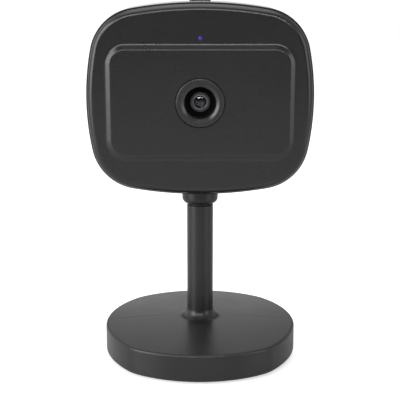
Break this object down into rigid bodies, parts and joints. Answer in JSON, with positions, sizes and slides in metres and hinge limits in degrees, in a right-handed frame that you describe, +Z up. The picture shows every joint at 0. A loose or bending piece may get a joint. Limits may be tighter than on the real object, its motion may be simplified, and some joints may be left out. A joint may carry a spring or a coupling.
{
  "type": "security camera",
  "caption": "Indoor security camera: flat rounded head with a central lens on a tilting, swivelling neck, slim stem and weighted base.",
  "frame": {"origin": "middle of the base's underside, on the stem's axis, on the surface the camera stands on", "axes": "+Z up along the stem, -Y the way the lens looks, +X to the right in the front view"},
  "size_m": [0.066, 0.0606, 0.109],
  "materials": {
    "soft_black": "soft-touch, very fine grain",
    "matte_black": "fine matte spark texture",
    "gloss_black": "polished",
    "bezel_black": "satin",
    "baffle_black": "dead matte",
    "anodised_black": "black anodised",
    "ring_black": "semi-gloss black",
    "lens_glass": "polished, coated",
    "filter_glass": "polished, blue-green",
    "holder_black": "glass-filled, matte",
    "base_black": "light texture",
    "button_black": "satin",
    "washer_black": "low-friction plastic",
    "pad_rubber": "matte",
    "foam_black": "closed-cell foam",
    "thermal_grey": "soft matte",
    "steel": "zinc plated",
    "zinc_steel": "zinc plated",
    "screw_steel": "black oxide, worn in the recess",
    "speaker_steel": "black",
    "tin_plate": "tin plated",
    "plain_aluminium": "mill finish",
    "coil_copper": "enamelled copper wire",
    "board_green": "solder mask",
    "chip_black": "moulded",
    "antenna_black": "film",
    "lamp_clear": "clear resin",
    "lamp_blue": "clear resin, lit violet-blue",
    "light_guide": "clear, lit from behind"
  },
  "bodies": {
    "stand": {"base_and_stem": "soft_black", "stem_core": "steel", "base_weight": "zinc_steel", "base_plate": "base_black", "base_screws": "screw_steel", "anti_slip_ring": "pad_rubber", "pan_washer": "washer_black", "pan_screw": "screw_steel", "pan_spring_washer": "steel"},
    "neck": {"neck_fork": "soft_black", "tilt_pin": "steel"},
    "head": {"board_header": "chip_black", "board_screws": "screw_steel", "bracket_screws": "screw_steel", "card_socket": "tin_plate", "filter_coil": "coil_copper", "front_cover": "matte_black", "front_lens_element": "lens_glass", "heat_spreader": "plain_aluminium", "image_sensor": "chip_black", "infrared_board": "board_green", "infrared_board_screws": "screw_steel", "infrared_lamps": "lamp_clear", "lens_baffle": "baffle_black", "lens_barrel": "anodised_black", "lens_bezel": "bezel_black", "lens_holder": "holder_black", "lens_holder_screws": "screw_steel", "lens_lock_ring": "ring_black", "lens_spacer": "anodised_black", "light_pipe": "light_guide", "light_sensor": "lamp_clear", "main_board": "board_green", "microphone": "tin_plate", "microphone_boot": "pad_rubber", "power_board": "board_green", "rear_housing": "gloss_black", "reset_switch": "chip_black", "second_lens_element": "lens_glass", "shield_can": "tin_plate", "speaker": "speaker_steel", "speaker_gasket": "foam_black", "status_led": "lamp_blue", "thermal_pad": "thermal_grey", "third_lens_element": "lens_glass", "tilt_bracket": "steel", "tilt_friction_washers": "washer_black", "usb_receptacle": "tin_plate", "wifi_antenna": "antenna_black"},
    "button": {"reset_button": "button_black"},
    "filter": {"filter_carrier": "holder_black", "infrared_cut_glass": "filter_glass", "clear_glass": "lens_glass"}
  },
  "joints": [
    {"name": "neck_pan", "type": "hinge", "parent": "stand", "child": "neck", "pos_m": [0, 0, 0.0475], "axis": [0, 0, 1], "continuous": true},
    {"name": "head_tilt", "type": "hinge", "parent": "neck", "child": "head", "pos_m": [0, 0, 0.0589], "axis": [1, 0, 0], "range_deg": [-20, 30]},
    {"name": "button_press", "type": "slide", "parent": "head", "child": "button", "axis": [0, 0, -1], "range_m": [0, 0.00045], "stiffness_N_per_m": 800, "springref_m": -0.0005},
    {"name": "filter_slide", "type": "slide", "parent": "head", "child": "filter", "axis": [1, 0, 0], "range_m": [0, 0.0054]}
  ]
}
